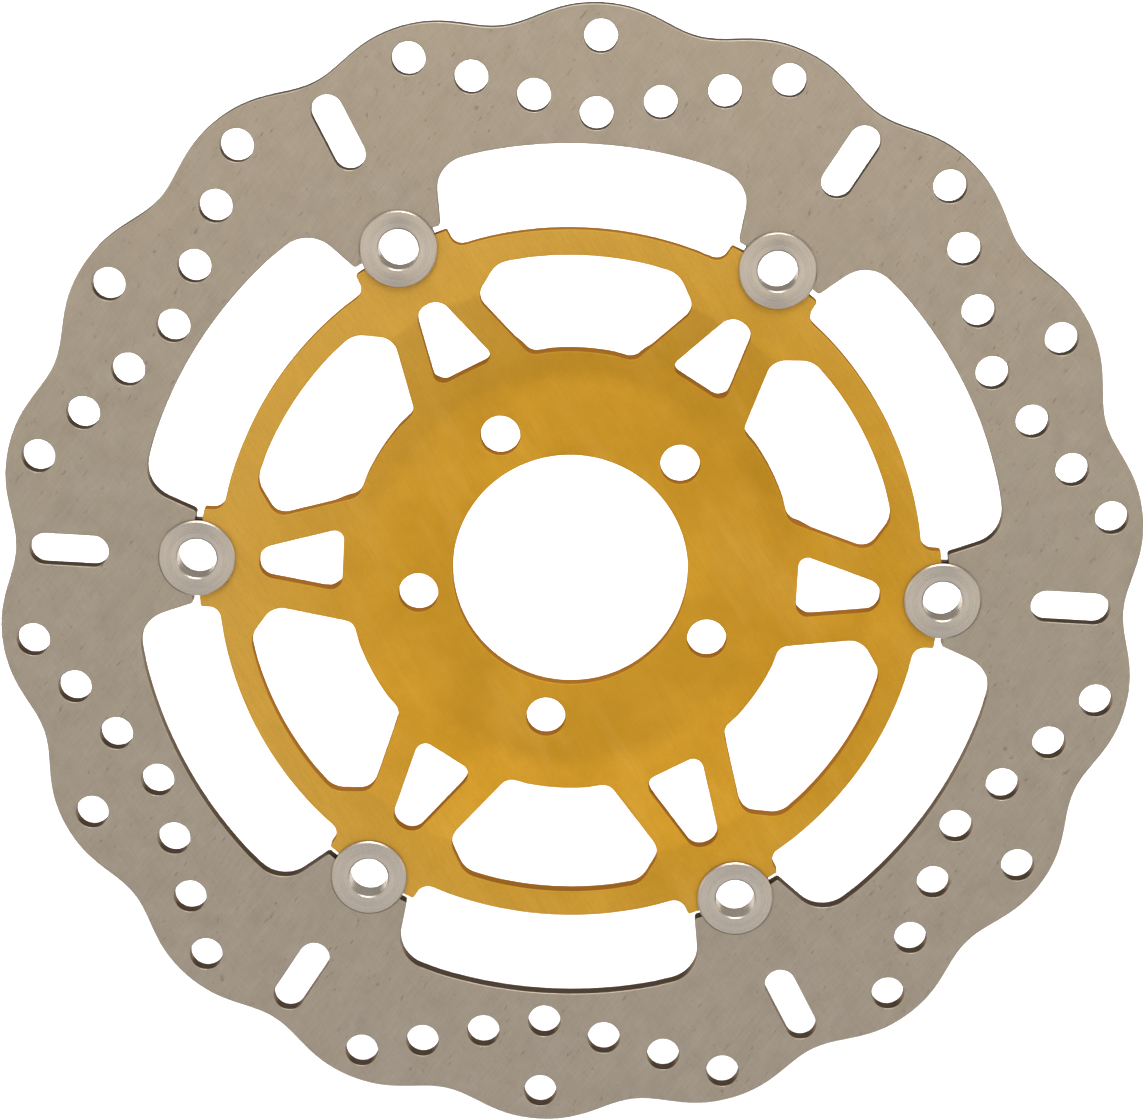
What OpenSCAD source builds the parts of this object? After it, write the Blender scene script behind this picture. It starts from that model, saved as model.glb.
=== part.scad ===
// Semi-floating motorcycle brake disc.
//
// A wave-edged steel blade is carried on a dished alloy hub by six hollow
// buttons. Each button runs through a square drive block that sits half in
// the hub and half in the blade. A wave washer and a back washer are held on
// its shank by the swaged end.
//
// Every module is drawn with the disc's axis along Z, the mounting face at
// Z = 0 and the outer face towards +Z. on_axle() turns it into the part's
// frame: axis along Y, outer face towards -Y, +Z up, and the origin at the
// centre of the bore on the mounting face.

/* [Blade] */
// Diameter over the crests of the wave
blade_d = 320; // [316:0.5:324]
// Thickness of the blade
blade_t = 5; // [4.6:0.1:5.4]
// Depth of the wave, from crest to trough
wave_depth = 5.4; // [4:0.1:6.5]
// Number of waves round the edge
wave_count = 18; // [12, 18, 24]
// Radius of the six scallops' outer wall
scallop_r = 121.8; // [120:0.1:124]
// Radius of the inner end of the six ears
blade_ear_r = 105.4; // [104.9:0.1:105.7]
// Diameter of a cooling hole
hole_d = 9.2; // [7:0.1:10]
// Sideways pitch of the V-shaped rows of holes
hole_pitch = 17.24; // [16:0.1:18]
// How far each hole of a row lies outside the one before it
hole_rise = 3.98; // [3:0.1:5]
// Radius of the hole at the foot of a V-shaped row
row_foot_r = 130.25; // [129:0.1:132]
// Radius of the single hole under each third crest
crest_hole_r = 151.3; // [150:0.1:152]
// Length of a radial slot over its round ends
slot_l = 22; // [18:0.5:24]
// Width of a radial slot
slot_w = 8.8; // [7:0.1:10]
// Radius of the middle of a radial slot
slot_r = 139.7; // [138:0.1:142]

/* [Hub] */
// Diameter of the bore
bore_d = 66; // [60:0.5:70]
// Thickness at the bore
hub_t = 5; // [4:0.1:6]
// Height of the blade's middle plane above the mounting face
blade_offset = 12.7; // [11.5:0.1:15]
// Radius of the hub's rim between its ears
rim_r = 98.3; // [97:0.1:99.5]
// Radius of the end of the hub's ears
hub_ear_r = 103.5; // [103:0.1:104]
// Width of a hub ear
hub_ear_w = 28; // [25:0.5:29]
// Pitch circle of the bolt holes
bolt_pcd = 86.5; // [84:0.5:88]
// Diameter of a bolt hole
bolt_hole_d = 11; // [8.5:0.1:12]
// Number of bolt holes
bolt_count = 5; // [4, 5, 6]

/* [Buttons] */
// Number of buttons, ears, windows and sectors
sector_count = 6; // [6]
// Radius of the circle that the buttons stand on
button_r = 104; // [103.8:0.1:104.2]
// Diameter of a button's flange
flange_d = 21.5; // [20:0.1:23]
// Thickness of a button's flange
flange_t = 1.1; // [0.8:0.1:1.6]
// Diameter of a button's bore
button_bore_d = 11; // [10:0.1:11.4]
// Diameter of a button's shank
shank_d = 12.9; // [12.5:0.1:13.1]
// Side of a square drive block
block_w = 14; // [13.8:0.1:14.4]
// Free play of the blade along the axle, each way, with a little room over
float_gap = 0.25; // [0.2:0.01:0.35]
// Room behind the blade for a wave washer
wave_room = 0.8; // [0.7:0.05:1]
// Thickness of a wave washer's strip
wave_strip = 0.3; // [0.25:0.05:0.35]
// Thickness of a back washer
back_washer_t = 0.8; // [0.6:0.1:1.2]

/* [Hidden] */

fine = 96;                       // segments on a small round part
sector = 360 / sector_count;
through = 1;                     // how far a cut runs past a face
edge = 0.4;                      // chamfer on machined edges

blade_back = blade_offset - blade_t / 2;
blade_front = blade_offset + blade_t / 2;

// The wave: a cosine whose crests and troughs are slightly filled out
wave_fill = 0.3;
wave_steps = 24;

// Scallop sides, as [sideways, outwards] points from the middle of a sector
scallop_side = 42.2;
scallop_foot = 40.9;
scallop_corner_r = 9.5;
ear_corner_r = 1;
ear_fillet_r = 3.5;

// The dish of the hub: radii where the front and back faces bend, and the
// height of the back face at the end of the step round the mounting face
front_step_r = 55.8;
front_crease_r = 83.5;
back_step_r = 65.5;
back_foot_r = 68.5;
back_foot_z = 4.5;
back_crease_r = 84;

// Square sockets for the drive blocks
socket_play = 0.2;               // round the block in the hub
blade_play = 0.1;                // beside the block in the blade
end_play = 0.3;                  // between a block and a socket's floor
socket_corner_r = 0.8;

button_top = blade_front + float_gap + flange_t;
block_back = blade_back - float_gap;
block_h = blade_t + 2 * float_gap;
washer_front = block_back - wave_room;
washer_back = washer_front - back_washer_t;
swage_t = 0.4;
swage_r = 7.6;
shank_fit = 0.05;                // radial clearance on the shank
washer_d = 20.6;
wave_outer_d = 19.8;
wave_inner_d = 13.5;
wave_swing = 0.2;                // rise and fall of the strip
waves_per_washer = 3;
wave_washer_steps = 36;

function polar(r, a) = [r * cos(a), r * sin(a)];

// Points along an arc about the origin, at most `step` degrees apart
function arc_points(r, from, to, step = 2) =
    let (n = max(1, ceil(abs(to - from) / step)))
    [for (i = [0:n]) polar(r, from + (to - from) * i / n)];

// The fillet of radius r that replaces corner p between neighbours a and b
function fillet(a, p, b, r) =
    let (u = (a - p) / norm(a - p),
         v = (b - p) / norm(b - p),
         half = acos(u * v) / 2,
         centre = p + (u + v) / norm(u + v) * r / sin(half),
         start = p + u * r / tan(half) - centre,
         end = p + v * r / tan(half) - centre,
         from = atan2(start[1], start[0]),
         swing = atan2(start[0] * end[1] - start[1] * end[0], start * end),
         n = max(2, ceil(abs(swing) / 9)))
    [for (i = [0:n]) centre + polar(r, from + swing * i / n)];

// A closed outline whose corners are [x, y, radius]; radius 0 stays sharp
function rounded(corners) =
    let (n = len(corners))
    [for (i = [0:n - 1])
        let (c = corners[i],
             p = [c[0], c[1]],
             a = corners[(i + n - 1) % n],
             b = corners[(i + 1) % n])
        each c[2] == 0 ? [p] : fillet([a[0], a[1]], p, [b[0], b[1]], c[2])];

function with_radius(points, r = 0) = [for (p = points) [p[0], p[1], r]];

// Adds a half outline's mirror image about Y, without the end points they share
function both_halves(half) = concat(
    [for (i = [len(half) - 2:-1:1]) [-half[i][0], half[i][1], half[i][2]]], half);

// Turns a sector's corners, drawn outwards along +Y, to the sector at angle a
function turned(corners, a) =
    [for (c = corners)
        [c[0] * cos(a) - c[1] * sin(a), c[0] * sin(a) + c[1] * cos(a), c[2]]];

module on_axle() { rotate([90, 0, 0]) children(); }
module at_button(i) { rotate((i - 1) * sector) translate([button_r, 0, 0]) children(); }
module each_sector() {
    for (i = [0:sector_count - 1]) rotate(i * sector) children();
}

// ---------------------------------------------------------------- blade

function wave_radius(a) =
    let (phase = wave_count * (a - sector / 2))
    blade_d / 2 - wave_depth / 2 * (1 - cos(phase)) + wave_fill * (1 - cos(2 * phase));

module wave_outline() {
    n = wave_count * wave_steps;
    polygon([for (i = [0:n - 1]) polar(wave_radius(i * 360 / n), i * 360 / n)]);
}

// One sector of the blade's inner edge, from its mid-line to the right-hand ear
function scallop_half() =
    let (rise = sqrt(pow(scallop_r, 2) - pow(scallop_side + 1, 2)),
         top = atan2(rise, scallop_side + 1),
         foot = acos(scallop_foot / blade_ear_r))
    concat(
        with_radius(arc_points(scallop_r, 90, top + 6)),
        [[scallop_side + 1, rise, scallop_corner_r],
         [scallop_side, 106, 4],
         [blade_ear_r * cos(foot), blade_ear_r * sin(foot), ear_corner_r]],
        with_radius(arc_points(blade_ear_r, foot - 1, 90 - sector / 2)));

module blade_opening() {
    scallop = both_halves(scallop_half());
    polygon(rounded([for (i = [0:sector_count - 1])
        each turned(scallop, -sector * i)]));
}

// A straight radial slot with round ends, lying along +X
module slot_outline() {
    run = slot_l - slot_w;
    translate([slot_r - run / 2, -slot_w / 2]) square([run, slot_w]);
    for (end = [-1, 1]) translate([slot_r + end * run / 2, 0]) circle(d = slot_w, $fn = fine);
}

// The V-shaped row of holes and the hole under the crest, about +Y
module sector_holes() {
    for (k = [-3:3])
        translate([k * hole_pitch, row_foot_r + abs(k) * hole_rise])
            circle(d = hole_d, $fn = fine);
    translate([0, crest_hole_r]) circle(d = hole_d, $fn = fine);
}

// Half-socket for a drive block, opening towards the disc's centre
module blade_socket() {
    floor_x = button_r + block_w / 2 + end_play;
    half_w = block_w / 2 + blade_play;
    inner = blade_ear_r - 3;
    polygon(rounded([
        [inner, -half_w, 0], [floor_x, -half_w, socket_corner_r],
        [floor_x, half_w, socket_corner_r], [inner, half_w, 0]]));
}

module blade() {
    color([0.64, 0.61, 0.55])
    on_axle()
    translate([0, 0, blade_back])
    linear_extrude(blade_t)
    difference() {
        wave_outline();
        blade_opening();
        each_sector() slot_outline();
        each_sector() blade_socket();
        each_sector() sector_holes();
    }
}

// ------------------------------------------------------------------ hub

// The dished section, from the bore out to the ends of the ears
module hub_section() {
    bore_r = bore_d / 2;
    polygon([
        [bore_r, 0], [back_step_r, 0],
        [back_foot_r, back_foot_z], [back_crease_r, blade_back],
        [hub_ear_r + through, blade_back], [hub_ear_r + through, blade_front],
        [front_crease_r, blade_front], [front_step_r, hub_t],
        [bore_r + edge, hub_t], [bore_r, hub_t - edge]]);
}

// The hub seen from the front: the rim with an ear at every button
module hub_outline() {
    side = hub_ear_w / 2;
    tip = asin(side / hub_ear_r);
    foot_y = sqrt(pow(rim_r, 2) - pow(side, 2));
    clear = asin((side + 2 * ear_fillet_r) / rim_r);
    ear = concat(
        with_radius(arc_points(rim_r, 90 + sector / 2, 90 + clear)),
        [[-side, foot_y, ear_fillet_r],
         [-side, sqrt(pow(hub_ear_r, 2) - pow(side, 2)), ear_corner_r / 2]],
        with_radius(arc_points(hub_ear_r, 90 + tip - 1, 90 - tip + 1)),
        [[side, sqrt(pow(hub_ear_r, 2) - pow(side, 2)), ear_corner_r / 2],
         [side, foot_y, ear_fillet_r]],
        with_radius(arc_points(rim_r, 90 - clear, 90 - sector / 2 + 2)));
    polygon(rounded([for (i = [0:sector_count - 1])
        each turned(ear, -90 - sector * i)]));
}

// The wide window between two V-shaped spokes, about +Y
module large_window() {
    inner_r = 63;
    outer_r = 91.1;
    corner_x = 25;
    half = concat(
        with_radius(arc_points(outer_r, 90, 79)),
        [[corner_x, sqrt(pow(outer_r, 2) - pow(corner_x, 2)), 6.8],
         [30.1, 77.7, 5],
         [14.4, 61.1, 4]],
        with_radius(arc_points(inner_r, 82, 90)));
    polygon(rounded(both_halves(half)));
}

// The tapered window inside a V-shaped spoke, pointing out along +X
module small_window() {
    base = [63.8, 9.1, 2.8];
    tip = [86.6, 3.8, 4.4];
    polygon(rounded([
        [base[0], -base[1], base[2]], [tip[0], -tip[1], tip[2]], tip, base]));
}

// Half-socket for a drive block, opening outwards
module hub_socket() {
    floor_x = button_r - block_w / 2 - end_play;
    half_w = block_w / 2 + socket_play;
    outer = hub_ear_r + 3;
    polygon(rounded([
        [floor_x, -half_w, socket_corner_r], [outer, -half_w, 0],
        [outer, half_w, 0], [floor_x, half_w, socket_corner_r]]));
}

module hub() {
    first_bolt = 120;
    color([0.80, 0.60, 0.20])
    on_axle()
    difference() {
        intersection() {
            rotate_extrude($fn = 2 * fine) hub_section();
            translate([0, 0, -through])
                linear_extrude(blade_front + 2 * through) hub_outline();
        }
        translate([0, 0, -through])
            linear_extrude(blade_front + 2 * through) {
                each_sector() large_window();
                each_sector() small_window();
                each_sector() hub_socket();
            }
        for (i = [0:bolt_count - 1])
            rotate(first_bolt + i * 360 / bolt_count)
                translate([bolt_pcd / 2, 0, 0]) {
                    translate([0, 0, -through])
                        cylinder(d = bolt_hole_d, h = hub_t + 2 * through, $fn = fine);
                    translate([0, 0, hub_t - edge])
                        cylinder(d1 = bolt_hole_d, d2 = bolt_hole_d + 4 * edge,
                            h = 2 * edge, $fn = fine);
                }
    }
}

// -------------------------------------------------------------- buttons

// The hollow rivet: a flange at the front and a swaged lip at the back
module button(i) {
    bore_r = button_bore_d / 2;
    shank_r = shank_d / 2;
    flange_r = flange_d / 2;
    flange_back = button_top - flange_t;
    lip_back = washer_back - swage_t;
    color([0.80, 0.78, 0.72])
    on_axle() at_button(i)
    rotate_extrude($fn = fine)
    polygon([
        [bore_r, lip_back], [shank_r, lip_back], [swage_r, washer_back],
        [shank_r, washer_back], [shank_r, flange_back], [flange_r, flange_back],
        [flange_r, button_top - edge], [flange_r - edge, button_top],
        [bore_r + edge, button_top], [bore_r, button_top - edge]]);
}

// The square block that carries the drive from the hub to the blade
module drive_block(i) {
    half = block_w / 2;
    corner = 1;
    color([0.55, 0.54, 0.52])
    on_axle() at_button(i)
    translate([0, 0, block_back])
    difference() {
        linear_extrude(block_h)
            polygon([
                [-half + corner, -half], [half - corner, -half],
                [half, -half + corner], [half, half - corner],
                [half - corner, half], [-half + corner, half],
                [-half, half - corner], [-half, -half + corner]]);
        translate([0, 0, -through])
            cylinder(r = shank_d / 2 + shank_fit, h = block_h + 2 * through, $fn = fine);
    }
}

// A ring of thin strip that rises and falls as it goes round
module wave_washer(i) {
    n = wave_washer_steps;
    mid = (block_back + washer_front) / 2;
    rings = [[wave_inner_d / 2, -1], [wave_outer_d / 2, -1],
             [wave_outer_d / 2, 1], [wave_inner_d / 2, 1]];
    points = [for (s = [0:n - 1])
        let (a = s * 360 / n, lift = wave_swing * cos(waves_per_washer * a))
        for (ring = rings)
            [ring[0] * cos(a), ring[0] * sin(a), mid + lift + ring[1] * wave_strip / 2]];
    faces = [for (s = [0:n - 1])
        for (k = [0:3])
            [s * 4 + k, s * 4 + (k + 1) % 4,
             ((s + 1) % n) * 4 + (k + 1) % 4, ((s + 1) % n) * 4 + k]];
    color([0.35, 0.33, 0.30])
    on_axle() at_button(i)
    polyhedron(points, faces, convexity = 4);
}

// The flat washer under the swaged end
module back_washer(i) {
    color([0.70, 0.69, 0.66])
    on_axle() at_button(i)
    rotate_extrude($fn = fine)
    polygon([
        [shank_d / 2 + shank_fit, washer_back], [washer_d / 2 - edge / 2, washer_back],
        [washer_d / 2, washer_back + edge / 2], [washer_d / 2, washer_front],
        [shank_d / 2 + shank_fit, washer_front]]);
}

hub();
blade();
for (i = [1:sector_count]) {
    button(i);
    drive_block(i);
    wave_washer(i);
    back_washer(i);
}
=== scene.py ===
"""A semi-floating motorcycle brake disc: ground steel blade, gold anodised hub, six turned buttons.

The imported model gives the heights, the outer radii and the place of the buttons. The other sizes
repeat those of the CAD design. Outlines are drawn in millimetres in the disc's own plane, x to the
right and y up as seen from the outer face, with a height h above the mounting face. They are then
turned into the part's frame, where the axis is Y.
"""

import math

import bpy
import numpy as np
from mathutils import Matrix, Vector
from mathutils.geometry import delaunay_2d_cdt


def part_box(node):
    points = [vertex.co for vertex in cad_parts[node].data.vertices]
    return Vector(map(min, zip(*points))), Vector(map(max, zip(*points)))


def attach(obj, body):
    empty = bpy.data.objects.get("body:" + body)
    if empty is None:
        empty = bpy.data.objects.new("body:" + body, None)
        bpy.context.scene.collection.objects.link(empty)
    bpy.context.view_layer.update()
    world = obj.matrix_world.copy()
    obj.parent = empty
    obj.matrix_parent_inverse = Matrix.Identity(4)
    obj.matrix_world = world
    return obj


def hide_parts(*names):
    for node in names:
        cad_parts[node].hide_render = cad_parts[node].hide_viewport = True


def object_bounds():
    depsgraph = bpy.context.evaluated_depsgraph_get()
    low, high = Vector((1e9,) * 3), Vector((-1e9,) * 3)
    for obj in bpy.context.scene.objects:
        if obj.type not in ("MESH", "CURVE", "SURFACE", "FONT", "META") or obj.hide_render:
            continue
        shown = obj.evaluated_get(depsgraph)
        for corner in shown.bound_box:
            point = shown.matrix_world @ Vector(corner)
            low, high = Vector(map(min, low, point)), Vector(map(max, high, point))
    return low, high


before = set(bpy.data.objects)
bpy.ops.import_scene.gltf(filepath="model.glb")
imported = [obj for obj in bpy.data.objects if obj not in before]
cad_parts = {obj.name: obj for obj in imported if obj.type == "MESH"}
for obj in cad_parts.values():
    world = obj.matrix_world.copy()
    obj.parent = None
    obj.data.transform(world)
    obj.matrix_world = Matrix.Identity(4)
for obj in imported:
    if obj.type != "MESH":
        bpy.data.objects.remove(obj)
cad_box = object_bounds()

MM = 0.001
SECTORS = 6
SECTOR = 360 / SECTORS


def height(node, side):
    """Height of a CAD node's front (side 1) or back (side 0) above the mounting face, in mm."""
    low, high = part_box(node)
    return round((-low.y if side else -high.y) / MM, 4)


def reach(node):
    """Half of a CAD node's height, in mm."""
    low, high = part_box(node)
    return (high.z - low.z) / 2 / MM


BLADE_BACK = height("blade", 0)
BLADE_FRONT = height("blade", 1)
BLADE_R = reach("blade")
BUTTON_R = (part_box("button_1")[0].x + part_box("button_1")[1].x) / 2 / MM

# ------------------------------------------------------------------ camera

CAMERA_ELEVATION = math.radians(13.41)
CAMERA_ROLL = math.radians(-3.30)
CAMERA_DISTANCE = 1.1707
CAMERA_LENS = 131.87
CAMERA_SENSOR = 36
CAMERA_AIM = Vector((0.00060, -(BLADE_BACK + BLADE_FRONT) / 2 * MM, 0.00488))


def make_camera():
    data = bpy.data.cameras.new("camera")
    data.lens = CAMERA_LENS
    data.sensor_width = CAMERA_SENSOR
    data.clip_start = 0.05
    camera = bpy.data.objects.new("camera", data)
    bpy.context.scene.collection.objects.link(camera)
    back = Vector((0, -math.cos(CAMERA_ELEVATION), math.sin(CAMERA_ELEVATION)))
    look = (-back).to_track_quat("-Z", "Y").to_matrix()
    turn = look @ Matrix.Rotation(-CAMERA_ROLL, 3, "Z")
    camera.matrix_world = Matrix.Translation(CAMERA_AIM + back * CAMERA_DISTANCE) @ turn.to_4x4()
    bpy.context.scene.camera = camera


# ---------------------------------------------------------------- outlines


def polar(r, degrees):
    a = math.radians(degrees)
    return np.array([r * math.cos(a), r * math.sin(a)])


def arc(r, start, end, step=1.0):
    n = max(1, math.ceil(abs(end - start) / step))
    return [(*polar(r, start + (end - start) * i / n), 0) for i in range(n + 1)]


def circle(centre, r, steps=48):
    return np.array([centre + polar(r, 360 * i / steps) for i in range(steps)])


def fillet(a, p, b, r, step=7.5):
    """Points of the arc of radius r that rounds corner p between its neighbours a and b."""
    u = (a - p) / np.linalg.norm(a - p)
    v = (b - p) / np.linalg.norm(b - p)
    half = math.acos(float(np.clip(u @ v, -1, 1))) / 2
    middle = (u + v) / np.linalg.norm(u + v)
    centre = p + middle * r / math.sin(half)
    start = p + u * r / math.tan(half) - centre
    end = p + v * r / math.tan(half) - centre
    swing = math.atan2(start[0] * end[1] - start[1] * end[0], start @ end)
    first = math.atan2(start[1], start[0])
    n = max(3, math.ceil(abs(math.degrees(swing)) / step))
    return [centre + polar(r, math.degrees(first + swing * i / n)) for i in range(n + 1)]


def rounded(corners):
    """A closed outline from (x, y, radius) corners; radius 0 is a plain point."""
    points = []
    count = len(corners)
    for i, (x, y, r) in enumerate(corners):
        here = np.array([x, y])
        if r == 0:
            points.append(here)
        else:
            before = np.array(corners[i - 1][:2])
            after = np.array(corners[(i + 1) % count][:2])
            points += fillet(before, here, after, r)
    return np.array(points)


def both_halves(half):
    """Adds the mirror image about Y, without the end points that the halves share."""
    return [(-x, y, r) for x, y, r in half[-2:0:-1]] + half


def turned(corners, degrees):
    c, s = polar(1, degrees)
    return [(x * c - y * s, x * s + y * c, r) for x, y, r in corners]


def turn_points(points, degrees):
    c, s = polar(1, degrees)
    return points @ np.array([[c, s], [-s, c]])


def divided(points, longest=1.5):
    """The same outline with extra points on its long sides, so that it can follow the dish."""
    result = []
    for here, after in zip(points, np.roll(points, -1, 0)):
        n = max(1, math.ceil(np.linalg.norm(after - here) / longest))
        result += [here + (after - here) * i / n for i in range(n)]
    return np.array(result)


def each_sector(points):
    return [turn_points(points, i * SECTOR) for i in range(SECTORS)]


# The same driving sizes as the CAD design's
WAVES = 18
WAVE_DEPTH = 5.4
WAVE_FILL = 0.3
SCALLOP_R = 121.8
SCALLOP_SIDE = 42.2
SCALLOP_FOOT = 40.9
SCALLOP_CORNER_R = 9.5
BLADE_EAR_R = 105.4
HOLE_R = 4.6
HOLE_PITCH = 17.24
HOLE_RISE = 3.98
ROW_FOOT_R = 130.25
CREST_HOLE_R = 151.3
SLOT_R = 139.7
SLOT_RUN = 13.2
SLOT_HALF_W = 4.4
BLOCK_HALF_W = 7
END_PLAY = 0.3
BLADE_PLAY = 0.1
SOCKET_PLAY = 0.2

RIM_R = 98.3
HUB_EAR_R = 103.5
HUB_EAR_HALF_W = 14
BORE_R = 33
BOLT_PITCH_R = 43.25
BOLT_HOLE_R = 5.5
BOLT_COUNT = 5
FIRST_BOLT = 120

CENTRE_T = 5
FRONT_STEP_R = 55.8
FRONT_CREASE_R = 83.5
BACK_STEP_R = 65.5
BACK_FOOT_R = 68.5
BACK_FOOT_H = 4.5
BACK_CREASE_R = 84


def wave_outline():
    steps = WAVES * 24
    points = []
    for i in range(steps):
        a = 360 * i / steps
        phase = math.radians(WAVES * (a - SECTOR / 2))
        r = BLADE_R - WAVE_DEPTH / 2 * (1 - math.cos(phase)) + WAVE_FILL * (1 - math.cos(2 * phase))
        points.append(polar(r, a))
    return np.array(points)


def blade_opening():
    """The inner edge: six scallops, and between them an ear with a half-socket in its end."""
    side = SCALLOP_SIDE + 1
    shoulder_y = 106
    rise = math.sqrt(SCALLOP_R**2 - side**2)
    top = math.degrees(math.atan2(rise, side))
    foot = math.degrees(math.acos(SCALLOP_FOOT / BLADE_EAR_R))
    socket_w = BLOCK_HALF_W + BLADE_PLAY
    socket_floor = BUTTON_R + BLOCK_HALF_W + END_PLAY
    mouth = math.degrees(math.asin(socket_w / BLADE_EAR_R))
    ear = [(socket_floor, socket_w, 0.8), (*polar(BLADE_EAR_R, mouth), 0.45)]
    half = (
        arc(SCALLOP_R, 90, top + 6)
        + [(side, rise, SCALLOP_CORNER_R), (SCALLOP_SIDE, shoulder_y, 4), (*polar(BLADE_EAR_R, foot), 1)]
        + arc(BLADE_EAR_R, foot - 1, 90 - SECTOR / 2 + mouth + 0.7)
        + turned(ear[::-1], SECTOR)
    )
    left = [(-x, y, r) for x, y, r in half[:0:-1]]
    sector = left + half
    return rounded([c for i in range(SECTORS) for c in turned(sector, -SECTOR * i)])


def slot_outline():
    run = SLOT_RUN / 2
    right = [np.array([SLOT_R + run, 0]) + polar(SLOT_HALF_W, -90 + 7.5 * i) for i in range(25)]
    left = [np.array([SLOT_R - run, 0]) + polar(SLOT_HALF_W, 90 + 7.5 * i) for i in range(25)]
    return np.array(right + left)


def blade_holes():
    holes = []
    for k in range(-3, 4):
        centre = np.array([k * HOLE_PITCH, ROW_FOOT_R + abs(k) * HOLE_RISE])
        holes += each_sector(circle(centre, HOLE_R))
    holes += each_sector(circle(np.array([0, CREST_HOLE_R]), HOLE_R))
    return holes + each_sector(slot_outline())


def hub_outline():
    """The rim with an ear at every button, and a half-socket in each ear's end."""
    side = HUB_EAR_HALF_W
    fillet_r = 3.5
    foot_y = math.sqrt(RIM_R**2 - side**2)
    tip_y = math.sqrt(HUB_EAR_R**2 - side**2)
    clear = math.degrees(math.asin((side + 2 * fillet_r) / RIM_R))
    tip = math.degrees(math.asin(side / HUB_EAR_R))
    socket_w = BLOCK_HALF_W + SOCKET_PLAY
    socket_floor = BUTTON_R - BLOCK_HALF_W - END_PLAY
    mouth_y = math.sqrt(HUB_EAR_R**2 - socket_w**2)
    mouth = math.degrees(math.asin(socket_w / HUB_EAR_R))
    right = (
        [(socket_w, socket_floor, 0.8), (socket_w, mouth_y, 0.45)]
        + arc(HUB_EAR_R, 90 - mouth - 0.7, 90 - tip + 0.8)
        + [(side, tip_y, 0.5), (side, foot_y, fillet_r)]
        + arc(RIM_R, 90 - clear, 90 - SECTOR / 2)
    )
    left = [(-x, y, r) for x, y, r in right[-2::-1]]
    ear = left + right
    return rounded([c for i in range(SECTORS) for c in turned(ear, -90 - SECTOR * i)])


def large_window():
    inner_r = 63
    outer_r = 91.1
    corner_x, corner_fillet = 25, 6.8
    side_x, side_y, side_fillet = 30.1, 77.7, 5
    foot_x, foot_y, foot_fillet = 14.4, 61.1, 4
    corner_y = math.sqrt(outer_r**2 - corner_x**2)
    corner = (corner_x, corner_y, corner_fillet)
    side = (side_x, side_y, side_fillet)
    foot = (foot_x, foot_y, foot_fillet)
    half = arc(outer_r, 90, 79) + [corner, side, foot] + arc(inner_r, 82, 90)
    return rounded(both_halves(half))


def small_window():
    base_x, base_y, base_fillet = 63.8, 9.1, 2.8
    tip_x, tip_y, tip_fillet = 86.6, 3.8, 4.4
    return rounded(
        [
            (base_x, -base_y, base_fillet),
            (tip_x, -tip_y, tip_fillet),
            (tip_x, tip_y, tip_fillet),
            (base_x, base_y, base_fillet),
        ]
    )


def hub_holes():
    holes = [circle(np.zeros(2), BORE_R, 240)]
    for i in range(BOLT_COUNT):
        holes.append(circle(polar(BOLT_PITCH_R, FIRST_BOLT + 360 / BOLT_COUNT * i), BOLT_HOLE_R, 72))
    return holes + each_sector(divided(large_window())) + each_sector(divided(small_window()))


# ------------------------------------------------------------ plate meshes


def area(loop):
    x, y = loop[:, 0], loop[:, 1]
    return 0.5 * float(np.sum(x * np.roll(y, -1) - y * np.roll(x, -1)))


def wound(loop, sign):
    return loop if area(loop) * sign > 0 else loop[::-1]


def inward(loop):
    """Unit normals that point into the metal, from a loop wound with the metal on its left."""
    ahead = np.roll(loop, -1, 0) - loop
    ahead /= np.linalg.norm(ahead, axis=1)[:, None]
    behind = np.roll(ahead, 1, 0)
    both = ahead + behind
    both /= np.linalg.norm(both, axis=1)[:, None]
    normal = np.stack([-both[:, 1], both[:, 0]], 1)
    stretch = 1 / np.clip(np.sum(both * ahead, 1), 0.6, 1)
    return normal, stretch[:, None]


def inside(points, loops):
    """Which points lie in the metal, by counting the loop edges that a ray to the right crosses."""
    crossings = np.zeros(len(points), int)
    for loop in loops:
        a, b = loop, np.roll(loop, -1, 0)
        near = np.ones(len(points), bool)
        near &= (points[:, 1] >= loop[:, 1].min()) & (points[:, 1] <= loop[:, 1].max())
        p = points[near][:, None, :]
        above = (a[None, :, 1] > p[:, :, 1]) != (b[None, :, 1] > p[:, :, 1])
        with np.errstate(divide="ignore", invalid="ignore"):
            run = (p[:, :, 1] - a[None, :, 1]) / (b - a)[None, :, 1]
            x = a[None, :, 0] + run * (b - a)[None, :, 0]
        crossings[near] += np.sum(above & (x > p[:, :, 0]), 1)
    return crossings % 2 == 1


def clearance(points, loops):
    """Distance from each point to the nearest loop vertex."""
    best = np.full(len(points), 1e9)
    for loop in loops:
        for start in range(0, len(loop), 64):
            d = points[:, None, :] - loop[None, start : start + 64, :]
            best = np.minimum(best, np.sqrt((d**2).sum(2)).min(1))
    return best


def place(points, heights):
    """Disc plane and height, in mm, to the part's frame in metres."""
    return np.stack([points[:, 0], -heights, points[:, 1]], 1) * MM


def slope_normals(points, profile):
    """Unit normals of the surface of revolution height = profile(r), as (x, y, up)."""
    r = np.linalg.norm(points, axis=1)
    step = 0.01
    slope = (profile(r + step) - profile(r - step)) / (2 * step)
    radial = points / np.maximum(r, 1e-6)[:, None]
    normal = np.stack([-slope * radial[:, 0], -slope * radial[:, 1], np.ones(len(r))], 1)
    return normal / np.linalg.norm(normal, axis=1)[:, None]


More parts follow.
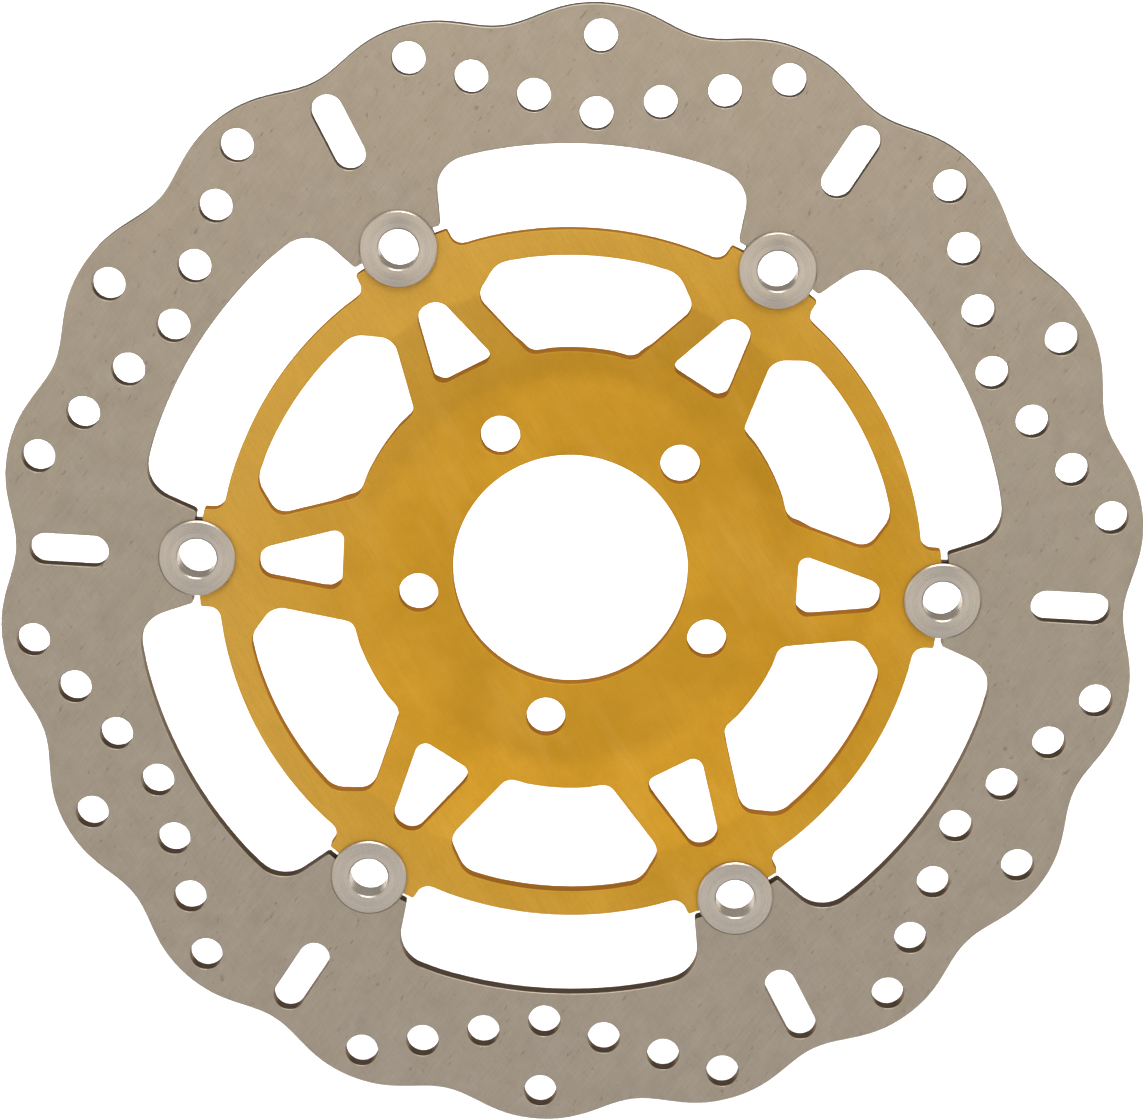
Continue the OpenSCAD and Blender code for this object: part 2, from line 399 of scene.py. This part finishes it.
def plate(name, outer, holes, front, back, edges, rings):
    """A plate with rounded edges between two surfaces of revolution.

    front and back give the height at a radius, edges one rounding radius for each loop, outer
    loop first, and rings the radii at which the faces have points of their own.
    """
    loops = [wound(outer, 1)] + [wound(h, -1) for h in holes]
    rim_steps = 4
    point_gap = 0.7
    insets = []
    for loop, edge in zip(loops, edges):
        normal, stretch = inward(loop)
        insets.append((loop, normal, stretch, edge))
    face_loops = [loop + normal * stretch * edge for loop, normal, stretch, edge in insets]

    # The faces: the inset loops and the rings' points, triangulated once for both sides
    free = [polar(r, a) for r in rings for a in np.arange(0, 360, max(1.2, 150 / r))]
    free = np.array(free).reshape(-1, 2)
    if len(free):
        free = free[inside(free, face_loops)]
        free = free[clearance(free, face_loops) > point_gap]
    points = np.concatenate(face_loops + [free])
    starts = np.cumsum([0] + [len(loop) for loop in face_loops])
    constraint = [
        (s + i, s + (i + 1) % len(loop))
        for s, loop in zip(starts, face_loops)
        for i in range(len(loop))
    ]
    flat, _, triangles, origin, _, _ = delaunay_2d_cdt(
        [Vector(p) for p in points], constraint, [], 0, 1e-7
    )
    flat = np.array([tuple(p) for p in flat])
    triangles = np.array(triangles)
    triangles = triangles[inside(flat[triangles].mean(1), face_loops)]
    index = {}
    for new, olds in enumerate(origin):
        for old in olds:
            index[old] = new

    count = len(flat)
    coords = [place(flat, front(np.linalg.norm(flat, axis=1)))]
    coords.append(place(flat, back(np.linalg.norm(flat, axis=1))))
    up = slope_normals(flat, front)
    down = -slope_normals(flat, back)
    normals = [up, down]
    faces = [tuple(t) for t in triangles] + [tuple(t[::-1] + count) for t in triangles]
    total = 2 * count

    # The rims: a quarter round, the wall, and a quarter round again
    for (loop, normal, stretch, edge), start in zip(insets, starts):
        n = len(loop)
        face_ids = [index[start + i] for i in range(n)]
        rows = [face_ids]
        face_r = np.linalg.norm(flat[face_ids], axis=1)
        for surface, cap_normal, sign in ((front, up, 1), (back, down, -1)):
            span = range(1, rim_steps + 1) if sign > 0 else range(rim_steps, 0, -1)
            for k in span:
                t = math.pi / 2 * k / rim_steps
                at = loop + normal * stretch * edge * (1 - math.sin(t))
                h = surface(face_r) - sign * edge * (1 - math.cos(t))
                coords.append(place(at, h))
                out = np.column_stack([-normal * math.sin(t), np.full(n, sign * math.cos(t))])
                cap = cap_normal[face_ids]
                blend = out + (cap - np.array([0, 0, sign])) * math.cos(t)
                normals.append(blend / np.linalg.norm(blend, axis=1)[:, None])
                rows.append(list(range(total, total + n)))
                total += n
        rows.append([i + count for i in face_ids])
        for top, low in zip(rows, rows[1:]):
            for i in range(n):
                j = (i + 1) % n
                faces.append((top[i], low[i], low[j], top[j]))

    coords = np.concatenate(coords)
    normals = np.concatenate(normals)
    normals = np.stack([normals[:, 0], -normals[:, 2], normals[:, 1]], 1)
    mesh = bpy.data.meshes.new(name)
    mesh.from_pydata(coords.tolist(), [], faces)
    mesh.shade_smooth()
    mesh.normals_split_custom_set_from_vertices(normals.tolist())
    mesh.validate()
    piece = bpy.data.objects.new(name, mesh)
    bpy.context.scene.collection.objects.link(piece)
    return piece


def bends(levels):
    """A height profile with straight runs between (radius, height, rounding) bends."""

    def profile(r):
        r = np.asarray(r, float)
        h = np.full(r.shape, levels[0][1], float)
        slopes = [0.0]
        for (r0, h0, _), (r1, h1, _) in zip(levels, levels[1:]):
            slopes.append((h1 - h0) / (r1 - r0))
        slopes.append(0.0)
        for (r0, _, soft), before, after in zip(levels, slopes, slopes[1:]):
            u = r - r0
            ramp = np.where(u > soft, u, np.where(u < -soft, 0, (u + soft) ** 2 / (4 * soft)))
            h += (after - before) * ramp
        return h

    return profile


def make_blade():
    holes = [blade_opening()] + blade_holes()
    outer_edge, inner_edge = 0.35, 0.3
    edges = [outer_edge] + [inner_edge] * len(holes)
    rings = [125.5, 136, 147, 153]
    piece = plate(
        "blade_shape",
        wave_outline(),
        holes,
        lambda r: np.full(np.shape(r), BLADE_FRONT),
        lambda r: np.full(np.shape(r), BLADE_BACK),
        edges,
        rings,
    )
    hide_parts("blade")
    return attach(piece, "brake_blade")


def make_hub():
    """The dished carrier. Its faces have more rings of points where they bend."""
    hub_back = height("hub", 0)
    front = bends(
        [
            (FRONT_STEP_R, hub_back + CENTRE_T, 2.2),
            (FRONT_CREASE_R, BLADE_FRONT, 0.6),
        ]
    )
    back = bends(
        [
            (BACK_STEP_R, hub_back, 0.3),
            (BACK_FOOT_R, hub_back + BACK_FOOT_H, 0.3),
            (BACK_CREASE_R, BLADE_BACK, 0.8),
        ]
    )
    holes = hub_holes()
    plain_edge, mount_edge = 0.3, 0.4
    edges = [plain_edge] + [mount_edge] * (1 + BOLT_COUNT) + [plain_edge] * (2 * SECTORS)
    rings = [36, 40, 46, 50, 53.2, 54.4, 55.2, 56, 56.8, 57.6, 58.4, 59.4, 61, 63.4, 65.1, 65.9]
    rings += [67, 68.1, 68.9, 70.5, 74, 78, 81, 82.7, 83.1, 83.9, 84.9, 87, 90, 93, 96]
    piece = plate("hub_shape", hub_outline(), holes, front, back, edges, rings)
    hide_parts("hub")
    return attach(piece, "carrier")


# ----------------------------------------------------------- turned pieces


def lathe(name, corners, centre, segments=128):
    """A turned piece from a closed (radius, height, rounding) section, metal on the left."""
    section = rounded(corners)
    rows = len(section)
    coords = []
    for s in range(segments):
        c, sn = polar(1, 360 * s / segments)
        for r, h in section:
            coords.append(((centre[0] + r * c) * MM, -h * MM, (centre[1] + r * sn) * MM))
    faces = []
    for s in range(segments):
        t = (s + 1) % segments
        for i in range(rows):
            j = (i + 1) % rows
            faces.append((s * rows + i, t * rows + i, t * rows + j, s * rows + j))
    mesh = bpy.data.meshes.new(name)
    mesh.from_pydata(coords, [], faces)
    mesh.shade_smooth()
    mesh.set_sharp_from_angle(angle=math.radians(32))
    piece = bpy.data.objects.new(name, mesh)
    bpy.context.scene.collection.objects.link(piece)
    return piece


def button_centre(i):
    return polar(BUTTON_R, (i - 1) * SECTOR)


def make_button(i):
    """The hollow rivet: flange, shank and swaged lip, with rounded edges."""
    name = f"button_{i}"
    bore_r, shank_r, lip_r = 5.5, 6.45, 7.6
    flange_t = 1.1
    chamfer, bore_chamfer = 0.42, 0.4
    top, bottom = height(name, 1), height(name, 0)
    flange_back = top - flange_t
    lip_front = height(f"back_washer_{i}", 0)
    flange_r = reach(name)
    piece = lathe(
        f"{name}_shape",
        [
            (bore_r, bottom, 0.15),
            (shank_r, bottom, 0.12),
            (lip_r, lip_front - 0.16, 0.1),
            (lip_r - 0.1, lip_front, 0.05),
            (shank_r, lip_front, 0.02),
            (shank_r, flange_back, 0.05),
            (flange_r, flange_back, 0.12),
            (flange_r, top - chamfer, 0.1),
            (flange_r - chamfer, top, 0.1),
            (bore_r + bore_chamfer, top, 0.1),
            (bore_r, top - bore_chamfer, 0.12),
        ],
        button_centre(i),
    )
    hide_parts(name)
    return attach(piece, f"button_set_{i}")


def make_back_washer(i):
    name = f"back_washer_{i}"
    hole_r = 6.5
    back, front = height(name, 0), height(name, 1)
    outer_r = reach(name)
    corners = [
        (hole_r, back, 0.08),
        (outer_r, back, 0.25),
        (outer_r, front, 0.12),
        (hole_r, front, 0.05),
    ]
    piece = lathe(f"{name}_shape", corners, button_centre(i))
    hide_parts(name)
    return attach(piece, f"button_set_{i}")


def make_wave_washer(i):
    """A ring of strip that rises and falls three times as it goes round."""
    name = f"wave_washer_{i}"
    inner_r, outer_r = 6.75, reach(name)
    strip, waves, segments = 0.3, 3, 120
    back, front = height(name, 0), height(name, 1)
    middle = (front + back) / 2
    swing = (front - back - strip) / 2
    section = rounded(
        [
            (inner_r, -strip / 2, 0.1),
            (outer_r, -strip / 2, 0.1),
            (outer_r, strip / 2, 0.1),
            (inner_r, strip / 2, 0.1),
        ]
    )
    centre = button_centre(i)
    piece = lathe(f"{name}_shape", [(r, h, 0) for r, h in section], centre, segments)
    mesh = piece.data
    coords = np.zeros(len(mesh.vertices) * 3)
    mesh.vertices.foreach_get("co", coords)
    coords = coords.reshape(-1, 3)
    around = np.arctan2(coords[:, 2] / MM - centre[1], coords[:, 0] / MM - centre[0])
    coords[:, 1] -= (middle + swing * np.cos(waves * around)) * MM
    mesh.vertices.foreach_set("co", coords.ravel())
    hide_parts(name)
    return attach(piece, f"button_set_{i}")


def finish_drive_block(i):
    """The CAD block itself, with its edges broken."""
    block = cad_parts[f"drive_block_{i}"]
    weld = block.modifiers.new("weld", "WELD")
    weld.merge_threshold = 1e-6
    bevel = block.modifiers.new("edges", "BEVEL")
    bevel.width = 0.0002
    bevel.segments = 3
    bevel.limit_method = "ANGLE"
    bevel.angle_limit = math.radians(40)
    return block


# --------------------------------------------------------------- materials


class Nodes:
    """Short calls for building one material's node tree."""

    def __init__(self, name):
        self.material = bpy.data.materials.new(name)
        self.material.use_nodes = True
        self.tree = self.material.node_tree
        self.shader = self.tree.nodes["Principled BSDF"]

    def add(self, kind, **settings):
        node = self.tree.nodes.new(kind)
        for key, value in settings.items():
            setattr(node, key, value)
        return node

    def link(self, out, into):
        self.tree.links.new(out, into)
        return into

    def stretched(self, scale, degrees=0.0):
        """Object coordinates turned about the disc's axis and scaled along the turned axes."""
        where = self.add("ShaderNodeTexCoord")
        turn = self.add("ShaderNodeMapping", vector_type="POINT")
        turn.inputs["Rotation"].default_value = (0, math.radians(degrees), 0)
        size = self.add("ShaderNodeMapping", vector_type="POINT")
        size.inputs["Scale"].default_value = scale
        self.link(where.outputs["Object"], turn.inputs["Vector"])
        self.link(turn.outputs["Vector"], size.inputs["Vector"])
        return size.outputs["Vector"]

    def noise(self, vector, scale=1.0, detail=4.0, rough=0.6):
        node = self.add("ShaderNodeTexNoise")
        self.link(vector, node.inputs["Vector"])
        node.inputs["Scale"].default_value = scale
        node.inputs["Detail"].default_value = detail
        node.inputs["Roughness"].default_value = rough
        return node.outputs["Fac"]

    def ramp(self, value, low, high, start=0.0, end=1.0):
        """value between low and high becomes start to end."""
        node = self.add("ShaderNodeMapRange")
        self.link(value, node.inputs["Value"])
        node.inputs["From Min"].default_value = low
        node.inputs["From Max"].default_value = high
        node.inputs["To Min"].default_value = start
        node.inputs["To Max"].default_value = end
        return node.outputs["Result"]

    def math(self, operation, a, b):
        node = self.add("ShaderNodeMath", operation=operation)
        for socket, value in zip(node.inputs, (a, b)):
            if isinstance(value, (int, float)):
                socket.default_value = value
            else:
                self.link(value, socket)
        return node.outputs["Value"]

    def mix(self, factor, a, b, blend="MIX"):
        node = self.add("ShaderNodeMix", data_type="RGBA", blend_type=blend)
        for key, value in (("Factor_Float", factor), ("A_Color", a), ("B_Color", b)):
            socket = next(s for s in node.inputs if s.identifier == key)
            if isinstance(value, (int, float)):
                socket.default_value = value
            elif isinstance(value, tuple):
                socket.default_value = (*value, 1)
            else:
                self.link(value, socket)
        return next(s for s in node.outputs if s.identifier == "Result_Color")

    def about(self, centre):
        """Object coordinates measured from an axis through the point centre of the disc's plane."""
        where = self.add("ShaderNodeTexCoord")
        shift = self.add("ShaderNodeMapping", vector_type="POINT")
        shift.inputs["Location"].default_value = (-centre[0] * MM, 0, -centre[1] * MM)
        self.link(where.outputs["Object"], shift.inputs["Vector"])
        split = self.add("ShaderNodeSeparateXYZ")
        self.link(shift.outputs["Vector"], split.inputs["Vector"])
        return split

    def radius(self, centre):
        split = self.about(centre)
        x2 = self.math("MULTIPLY", split.outputs["X"], split.outputs["X"])
        z2 = self.math("MULTIPLY", split.outputs["Z"], split.outputs["Z"])
        return self.math("SQRT", self.math("ADD", x2, z2), 0)

    def facing(self):
        """1 on the disc's flat faces and 0 on its walls, from the surface normal along Y."""
        geometry = self.add("ShaderNodeNewGeometry")
        split = self.add("ShaderNodeSeparateXYZ")
        self.link(geometry.outputs["Normal"], split.inputs["Vector"])
        size = self.math("ABSOLUTE", split.outputs["Y"], 0)
        return self.ramp(size, 0.25, 0.75)

    def bump(self, height_value, distance, strength=1.0, after=None):
        node = self.add("ShaderNodeBump")
        node.inputs["Distance"].default_value = distance
        node.inputs["Strength"].default_value = strength
        self.link(height_value, node.inputs["Height"])
        if after is not None:
            self.link(after, node.inputs["Normal"])
        return node.outputs["Normal"]

    def finish(self, colour, roughness, normal):
        self.shader.inputs["Metallic"].default_value = 1.0
        self.link(colour, self.shader.inputs["Base Color"])
        self.link(roughness, self.shader.inputs["Roughness"])
        self.link(normal, self.shader.inputs["Normal"])
        return self.material


def blade_steel():
    """Ground stainless: crossed grinding lines, faint stains and pits, and walls darkened both by their
    cut finish and by painted shade.
    """
    n = Nodes("ground_stainless")
    grind, cross = -34, 38
    # Painted shade, partly the cut finish: the walls get a much darker colour than the faces, standing
    # in for the shade they lie in.
    shaded_wall = (0.150, 0.115, 0.090)
    lines = n.noise(n.stretched((2700, 400, 150), grind), detail=4, rough=0.7)
    crossing = n.noise(n.stretched((2300, 400, 120), cross), detail=4, rough=0.7)
    streaks = n.noise(n.stretched((420, 60, 70), grind), detail=4)
    stains = n.noise(n.stretched((1, 1, 1)), scale=130, detail=8, rough=0.72)
    tint = n.noise(n.stretched((1.3, 1, 0.8), grind), scale=60, detail=4)
    pits = n.noise(n.stretched((900, 300, 330), -30), detail=3, rough=0.5)
    face = n.facing()

    clean = n.mix(n.ramp(stains, 0.35, 0.66), (0.454, 0.389, 0.304), (0.526, 0.465, 0.377))
    tinted = n.mix(n.ramp(tint, 0.42, 0.68, 0, 0.6), clean, (0.510, 0.439, 0.331))
    streaked = n.mix(n.ramp(streaks, 0.40, 0.72, 0, 0.35), tinted, (0.566, 0.507, 0.423))
    lined = n.mix(n.ramp(lines, 0.32, 0.62, 0.24, 0), streaked, (0.325, 0.270, 0.209))
    crossed = n.mix(n.ramp(crossing, 0.34, 0.60, 0.18, 0), lined, (0.325, 0.277, 0.220))
    pitted = n.mix(n.ramp(pits, 0.665, 0.76, 0, 0.5), crossed, (0.179, 0.142, 0.110))
    colour = n.mix(face, shaded_wall, pitted)

    grain = n.math("ADD", lines, n.math("MULTIPLY", crossing, 0.6))
    dulled = n.ramp(stains, 0.3, 0.7, 0.32, 0.42)
    roughness = n.math("ADD", dulled, n.ramp(lines, 0.3, 0.7, 0.04, -0.04))
    n.shader.inputs["Specular Tint"].default_value = (0.45, 0.38, 0.32, 1)
    return n.finish(colour, roughness, n.bump(grain, 0.000008))


def gold_anodised():
    """Matt gold anodising over a fine diagonal grain, with painted light: paler away from a point in the
    bore, so the hub's top and left are lighter. The walls carry painted shade.
    """
    n = Nodes("gold_anodised")
    grain_angle = 35
    # Painted light: the hub is darkest near this point and grows paler away from it.
    painted_shade_point = (20, -10)
    # Painted shade: the walls get a darker brown than the faces, standing in for their shade.
    shaded_wall = (0.500, 0.230, 0.035)
    lines = n.noise(n.stretched((2600, 500, 130), grain_angle), detail=4, rough=0.7)
    bands = n.noise(n.stretched((130, 60, 22), grain_angle), detail=3)
    grain = n.noise(n.stretched((1, 1, 1)), scale=2600, detail=2)
    cloud = n.noise(n.stretched((1, 1, 1)), scale=45, detail=4)
    face = n.facing()
    centre = n.mix(n.ramp(cloud, 0.35, 0.65), (0.744, 0.465, 0.042), (0.820, 0.533, 0.060))
    # Painted light: paler towards the top and left of the hub, as if lit from above.
    painted_light_paling = n.ramp(n.radius(painted_shade_point), 0.070, 0.116, 0, 0.7)
    flat = n.mix(painted_light_paling, centre, (0.820, 0.589, 0.155))
    banded = n.mix(n.ramp(bands, 0.50, 0.72, 0, 0.45), flat, (0.870, 0.605, 0.123))
    lined = n.mix(n.ramp(lines, 0.32, 0.62, 0.25, 0), banded, (0.530, 0.308, 0.025))
    colour = n.mix(face, shaded_wall, lined)
    both = n.math("ADD", lines, grain)
    roughness = n.ramp(both, 0.7, 1.3, 0.78, 0.88)
    n.shader.inputs["Specular Tint"].default_value = (0.75, 0.45, 0.20, 1)
    return n.finish(colour, roughness, n.bump(both, 0.000010))


def turned_steel(name, colour_low, colour_high, rough_low, rough_high, centre):
    """Turned stainless: fine rings about the piece's own axis."""
    n = Nodes(name)
    ring_scale = 4200
    split = n.about(centre)
    around = n.math("ARCTAN2", split.outputs["Z"], split.outputs["X"])
    spiral = n.add("ShaderNodeCombineXYZ")
    n.link(n.math("MULTIPLY", n.radius(centre), ring_scale), spiral.inputs["X"])
    n.link(n.math("MULTIPLY", around, 0.6), spiral.inputs["Y"])
    n.link(n.math("MULTIPLY", split.outputs["Y"], ring_scale), spiral.inputs["Z"])
    rings = n.noise(spiral.outputs["Vector"], detail=3)
    broad = n.noise(spiral.outputs["Vector"], scale=0.18, detail=2)
    colour = n.mix(n.ramp(broad, 0.35, 0.65), colour_low, colour_high)
    roughness = n.ramp(rings, 0.35, 0.65, rough_low, rough_high)
    turning = n.add("ShaderNodeTangent", direction_type="RADIAL", axis="Y")
    n.link(turning.outputs["Tangent"], n.shader.inputs["Tangent"])
    n.shader.inputs["Anisotropic"].default_value = 0.75
    n.shader.inputs["Specular Tint"].default_value = (0.5, 0.46, 0.42, 1)
    return n.finish(colour, roughness, n.bump(rings, 0.000003))


def dark_steel(name, colour_low, colour_high, rough_low, rough_high):
    """Rolled or machined steel that is mostly hidden: blotches and a fine grain."""
    n = Nodes(name)
    blotch = n.noise(n.stretched((1, 1, 1)), scale=420, detail=4)
    grain = n.noise(n.stretched((1, 1, 1)), scale=5200, detail=2)
    colour = n.mix(n.ramp(blotch, 0.35, 0.65), colour_low, colour_high)
    roughness = n.ramp(blotch, 0.3, 0.7, rough_low, rough_high)
    return n.finish(colour, roughness, n.bump(grain, 0.000010))


def coat(piece, material):
    piece.data.materials.clear()
    piece.data.materials.append(material)


# ---------------------------------------------------------- floor and light


def make_floor():
    """A pale floor a little below the disc."""
    gap = 0.16
    low = cad_box[0][2] - gap
    size = 6.0
    mesh = bpy.data.meshes.new("floor")
    corners = [(-size, -size, low), (size, -size, low), (size, size, low), (-size, size, low)]
    mesh.from_pydata(corners, [], [(0, 1, 2, 3)])
    floor = bpy.data.objects.new("floor", mesh)
    bpy.context.scene.collection.objects.link(floor)
    n = Nodes("pale_floor")
    cloud = n.noise(n.stretched((1, 1, 1)), scale=2.0, detail=2)
    n.link(n.mix(cloud, (0.70, 0.70, 0.72), (0.74, 0.74, 0.76)), n.shader.inputs["Base Color"])
    n.shader.inputs["Roughness"].default_value = 0.9
    n.shader.inputs["Specular IOR Level"].default_value = 0.2
    coat(floor, n.material)


FRONT_LOW = (1.45, 1.34, 1.16)
FRONT_HIGH = (0.46, 0.46, 0.48)
BEHIND = (0.58, 0.58, 0.58)


def softbox(name, place_at, aim, size, power, spread=180):
    data = bpy.data.lights.new(name, "AREA")
    data.shape = "RECTANGLE"
    data.size, data.size_y = size
    data.energy = power
    data.spread = math.radians(spread)
    light = bpy.data.objects.new(name, data)
    bpy.context.scene.collection.objects.link(light)
    light.location = place_at
    light.rotation_euler = (Vector(aim) - Vector(place_at)).to_track_quat("-Z", "Y").to_euler()
    return light


def make_light():
    """A white studio: a lit floor behind the disc, and in front a sky that is brightest low down."""
    world = bpy.data.worlds.new("studio")
    bpy.context.scene.world = world
    world.use_nodes = True
    tree = world.node_tree
    background = tree.nodes["Background"]
    where = tree.nodes.new("ShaderNodeTexCoord")
    split = tree.nodes.new("ShaderNodeSeparateXYZ")
    tree.links.new(where.outputs["Generated"], split.inputs["Vector"])
    rise = tree.nodes.new("ShaderNodeValToRGB")
    rise.color_ramp.interpolation = "EASE"
    rise.color_ramp.elements[0].position = 0.05
    rise.color_ramp.elements[0].color = (*FRONT_LOW, 1)
    rise.color_ramp.elements[1].position = 0.55
    rise.color_ramp.elements[1].color = (*FRONT_HIGH, 1)
    tree.links.new(split.outputs["Z"], rise.inputs["Fac"])
    depth = tree.nodes.new("ShaderNodeMapRange")
    depth.interpolation_type = "SMOOTHSTEP"
    depth.inputs["From Min"].default_value = -0.3
    depth.inputs["From Max"].default_value = 0.5
    tree.links.new(split.outputs["Y"], depth.inputs["Value"])
    blend = tree.nodes.new("ShaderNodeMixRGB")
    blend.inputs["Color2"].default_value = (*BEHIND, 1)
    tree.links.new(depth.outputs["Result"], blend.inputs["Fac"])
    tree.links.new(rise.outputs["Color"], blend.inputs["Color1"])
    tree.links.new(blend.outputs["Color"], background.inputs["Color"])
    background.inputs["Strength"].default_value = 1.0
    softbox("key", (0.0, -1.25, 1.9), (0, 0, 0), (1.8, 0.7), 17)
    softbox("strip", (0.0, -0.45, 1.7), (0, 0, 0), (1.2, 0.25), 5)
    softbox("backdrop", (0.0, 3.5, 1.8), (0, 3.5, 0), (3.6, 5.8), 170, 60)
    bpy.context.scene.view_settings.view_transform = "Standard"


# -------------------------------------------------------------------- build

make_camera()
make_floor()
make_light()

coat(make_blade(), blade_steel())
coat(make_hub(), gold_anodised())
BUTTON_STEEL = ((0.61, 0.55, 0.47), (0.66, 0.60, 0.52), 0.24, 0.34)
WASHER_STEEL = ((0.52, 0.49, 0.44), (0.60, 0.57, 0.52), 0.34, 0.46)
block_finish = dark_steel("machined_block", (0.40, 0.37, 0.33), (0.48, 0.45, 0.40), 0.35, 0.5)
wave_finish = dark_steel("spring_steel", (0.16, 0.12, 0.10), (0.24, 0.19, 0.16), 0.35, 0.55)
for number in range(1, SECTORS + 1):
    middle = button_centre(number)
    steel = turned_steel(f"turned_{number}", *BUTTON_STEEL, middle)
    pressed = turned_steel(f"pressed_{number}", *WASHER_STEEL, middle)
    coat(make_button(number), steel)
    coat(make_back_washer(number), pressed)
    coat(make_wave_washer(number), wave_finish)
    coat(finish_drive_block(number), block_finish)

bpy.context.view_layer.update()
